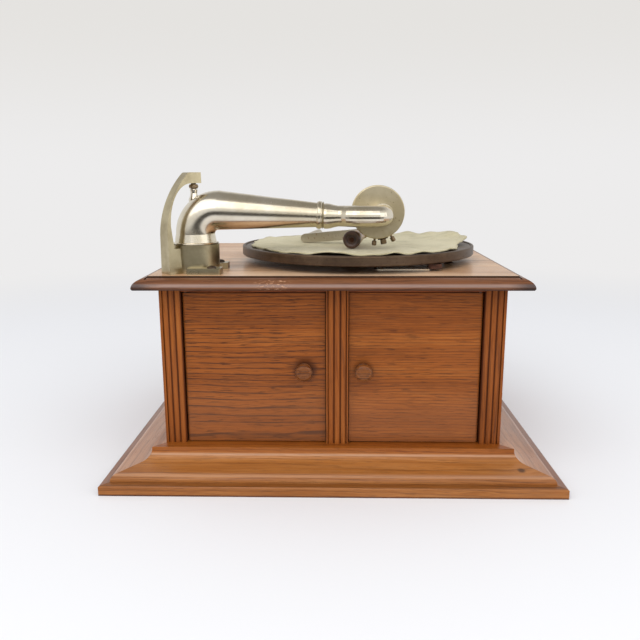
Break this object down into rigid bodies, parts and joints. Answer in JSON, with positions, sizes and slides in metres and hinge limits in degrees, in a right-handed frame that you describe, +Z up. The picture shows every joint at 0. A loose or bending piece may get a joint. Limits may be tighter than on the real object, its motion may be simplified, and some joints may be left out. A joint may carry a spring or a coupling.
{
  "type": "gramophone cabinet",
  "caption": "Table gramophone: wooden cabinet with two doors on a stepped plinth, lift-off lid with turntable, tone arm, spring motor and crank.",
  "frame": {"origin": "centre of the plinth footprint, on the surface it stands on", "axes": "+X to the right seen from the doors, +Y towards the back, +Z up"},
  "size_m": [0.438, 0.406, 0.2968],
  "materials": {
    "oak": "oiled satin",
    "oak_dark": "oiled satin",
    "oak_top": "worn satin",
    "deal": "raw",
    "nickel": "polished, a little worn",
    "aged_nickel": "dulled",
    "steel": "machined",
    "dark_steel": "browned",
    "brass": "dull",
    "platter_paint": "dull nickel gone brown",
    "felt": "matted",
    "mica": "clear",
    "handle_wood": "dark stain",
    "leather": "worn"
  },
  "bodies": {
    "cabinet": {"plinth_front": "oak", "plinth_back": "oak", "plinth_left": "oak", "plinth_right": "oak", "base_board": "deal", "left_side": "oak", "right_side": "oak", "back_panel": "deal", "left_pilaster": "oak_dark", "right_pilaster": "oak_dark", "centre_stile": "oak_dark", "top_rail": "oak", "partition": "deal", "sound_deflector": "deal", "corner_blocks": "deal", "door_pivots": "steel", "door_stops": "oak", "winding_escutcheon": "brass"},
    "left_door": {"left_door": "oak", "left_knob": "oak_dark"},
    "right_door": {"right_door": "oak", "right_knob": "oak_dark"},
    "lid": {"lid_board": "oak_top", "lid_battens": "deal", "throat_sleeve": "aged_nickel", "motor_top_plate": "steel", "motor_bottom_plate": "steel", "motor_pillars": "steel", "motor_bolts": "nickel", "governor_bracket": "brass", "winding_bearing": "brass", "tonearm_bracket": "aged_nickel", "pivot_screw": "dark_steel", "lock_nut": "dark_steel", "bracket_screws": "dark_steel", "brake_pivot": "nickel"},
    "turntable": {"spindle": "steel", "platter": "platter_paint", "platter_felt": "felt"},
    "intermediate_wheel": {"intermediate_wheel": "brass"},
    "spring_barrel": {"spring_barrel": "brass"},
    "spring_arbor": {"spring_arbor": "steel"},
    "governor": {"governor": "steel"},
    "winding_arbor": {"winding_arbor": "steel"},
    "speed_knob": {"speed_knob": "nickel"},
    "regulator_rod": {"regulator_rod": "dark_steel"},
    "tonearm": {"tonearm": "nickel", "arm_collar": "nickel"},
    "soundbox": {"neck_ring": "nickel", "gooseneck": "nickel", "soundbox_case": "aged_nickel", "diaphragm": "mica", "stylus_lever": "dark_steel", "soundbox_screws": "dark_steel"},
    "needle_screw": {"needle_screw": "dark_steel"},
    "brake": {"brake_lever": "nickel", "brake_block": "leather"},
    "crank": {"crank_arm": "nickel"},
    "crank_handle": {"crank_handle": "handle_wood"}
  },
  "joints": [
    {"name": "lid_lift", "type": "slide", "parent": "cabinet", "child": "lid", "axis": [0, 0, 1], "range_m": [0, 0.15]},
    {"name": "left_door_swing", "type": "hinge", "parent": "cabinet", "child": "left_door", "pos_m": [-0.1419, -0.1428, 0.108], "axis": [0, 0, -1], "range_deg": [0, 90]},
    {"name": "right_door_swing", "type": "hinge", "parent": "cabinet", "child": "right_door", "pos_m": [0.1419, -0.1428, 0.108], "axis": [0, 0, 1], "range_deg": [0, 90]},
    {"name": "turntable_spin", "type": "hinge", "parent": "lid", "child": "turntable", "pos_m": [0.0271, -0.0266, 0.21], "axis": [0, 0, 1], "continuous": true},
    {"name": "intermediate_spin", "type": "hinge", "parent": "lid", "child": "intermediate_wheel", "pos_m": [0.05173, -0.00034, 0.16], "axis": [0, 0, 1], "continuous": true},
    {"name": "barrel_spin", "type": "hinge", "parent": "lid", "child": "spring_barrel", "pos_m": [0.094, -0.022, 0.145], "axis": [0, 0, 1], "continuous": true},
    {"name": "governor_spin", "type": "hinge", "parent": "lid", "child": "governor", "pos_m": [0.04, -0.05085, 0.141], "axis": [1, 0, 0], "continuous": true},
    {"name": "winding_turn", "type": "hinge", "parent": "lid", "child": "winding_arbor", "pos_m": [0.13, -0.022, 0.171], "axis": [1, 0, 0], "continuous": true},
    {"name": "arbor_turn", "type": "hinge", "parent": "lid", "child": "spring_arbor", "pos_m": [0.094, -0.022, 0.155], "axis": [0, 0, 1], "continuous": true},
    {"name": "speed_turn", "type": "hinge", "parent": "lid", "child": "speed_knob", "pos_m": [0.0665, 0.112, 0.203], "axis": [0, 0, 1], "range_deg": [-30, 30]},
    {"name": "regulator_slide", "type": "slide", "parent": "lid", "child": "regulator_rod", "axis": [0, 1, 0], "range_m": [-0.00106, 0.00106]},
    {"name": "tonearm_swing", "type": "hinge", "parent": "lid", "child": "tonearm", "pos_m": [-0.1338, -0.1217, 0.2285], "axis": [0, 0, 1], "range_deg": [-25, 1]},
    {"name": "soundbox_turn", "type": "hinge", "parent": "tonearm", "child": "soundbox", "pos_m": [-0.012, -0.1217, 0.2558], "axis": [0.9988, 0, -0.0498], "range_deg": [0, 150]},
    {"name": "needle_screw_turn", "type": "hinge", "parent": "soundbox", "child": "needle_screw", "pos_m": [0.05153, -0.0965, 0.22854], "axis": [0, -1, 0], "range_deg": [0, 360]},
    {"name": "brake_swing", "type": "hinge", "parent": "lid", "child": "brake", "pos_m": [0.047, -0.1217, 0.203], "axis": [0, 0, 1], "range_deg": [-12, 8]},
    {"name": "crank_takeoff", "type": "slide", "parent": "lid", "child": "crank", "axis": [-0.621, 0.3505, 0.7011], "range_m": [0, 0.15]},
    {"name": "crank_handle_spin", "type": "hinge", "parent": "crank", "child": "crank_handle", "pos_m": [0.019, -0.106, 0.2302], "axis": [0.2502, 0.9676, 0.0349], "continuous": true}
  ],
  "couplings": [
    {"joint": "intermediate_spin", "follows": "turntable_spin", "ratio": -0.2},
    {"joint": "barrel_spin", "follows": "turntable_spin", "ratio": 0.0375},
    {"joint": "regulator_slide", "follows": "speed_turn", "m_per_rad": 0.002}
  ]
}
